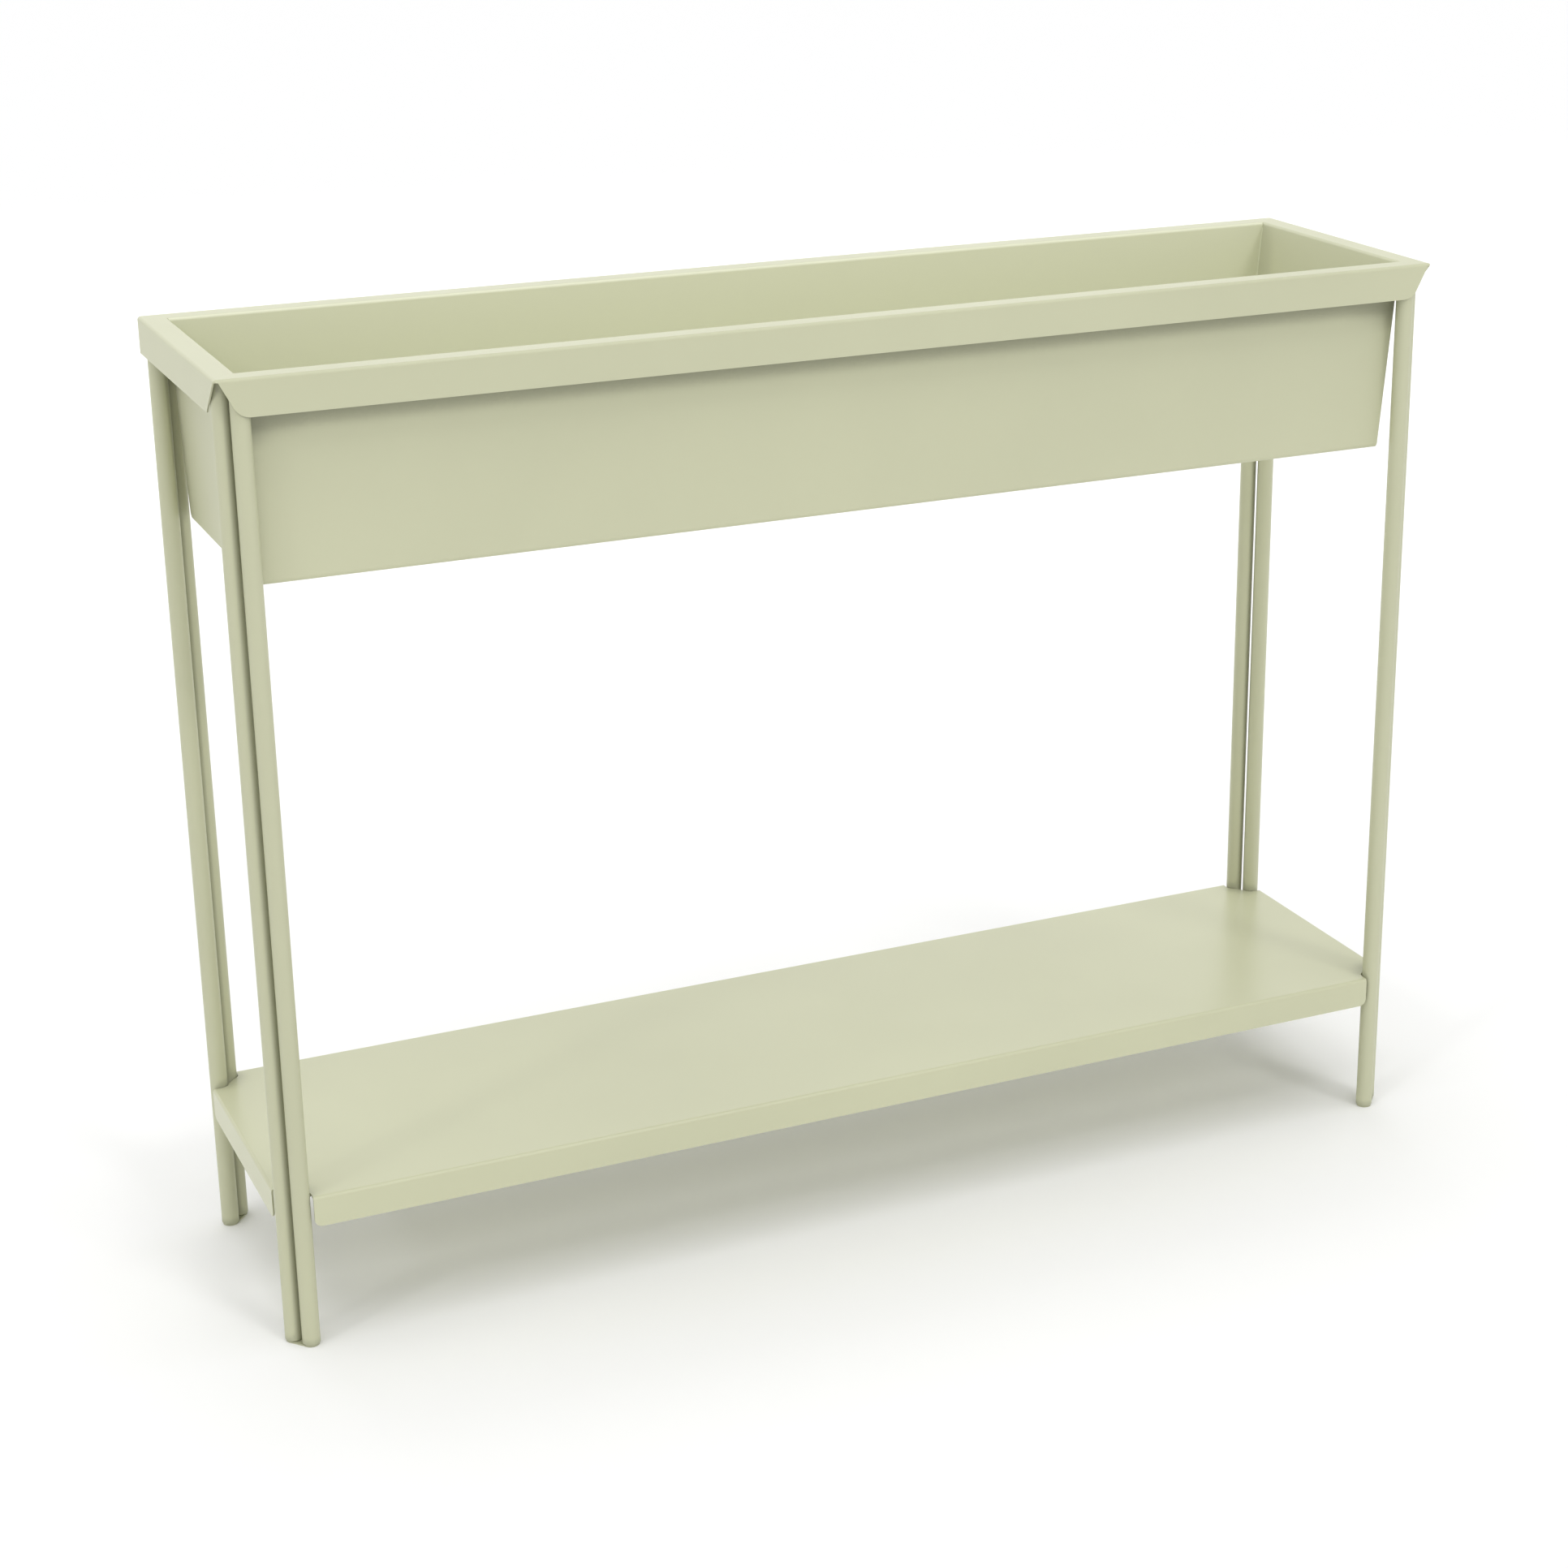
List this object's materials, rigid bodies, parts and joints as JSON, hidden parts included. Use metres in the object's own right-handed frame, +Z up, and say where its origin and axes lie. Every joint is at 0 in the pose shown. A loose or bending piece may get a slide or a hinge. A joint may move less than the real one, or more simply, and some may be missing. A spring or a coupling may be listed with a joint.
{
  "type": "raised planter on legs",
  "caption": "Raised planter: a long folded sheet-steel trough with a flat rim, resting on a stand of paired thin steel tubes with a low sheet-steel shelf.",
  "frame": {"origin": "on the ground, under the middle of the planter", "axes": "+X along the planter, +Z up, the front towards -Y"},
  "size_m": [1, 0.25, 0.76],
  "materials": {
    "powder_coat": "satin powder coat"
  },
  "bodies": {
    "stand": {"leg_front_left_side": "powder_coat", "leg_front_left_end": "powder_coat", "leg_front_right_side": "powder_coat", "leg_front_right_end": "powder_coat", "leg_back_left_side": "powder_coat", "leg_back_left_end": "powder_coat", "leg_back_right_side": "powder_coat", "leg_back_right_end": "powder_coat", "rail_front": "powder_coat", "rail_back": "powder_coat", "rail_left": "powder_coat", "rail_right": "powder_coat", "foot_plate_front_left": "powder_coat", "foot_plate_front_right": "powder_coat", "foot_plate_back_left": "powder_coat", "foot_plate_back_right": "powder_coat", "shelf": "powder_coat", "shelf_welds": "powder_coat"},
    "trough": {"trough_channel": "powder_coat", "trough_end_left": "powder_coat", "trough_end_right": "powder_coat"}
  },
  "joints": [
    {"name": "trough_lift", "type": "slide", "parent": "stand", "child": "trough", "axis": [0, 0, 1], "range_m": [0, 0.2]}
  ]
}
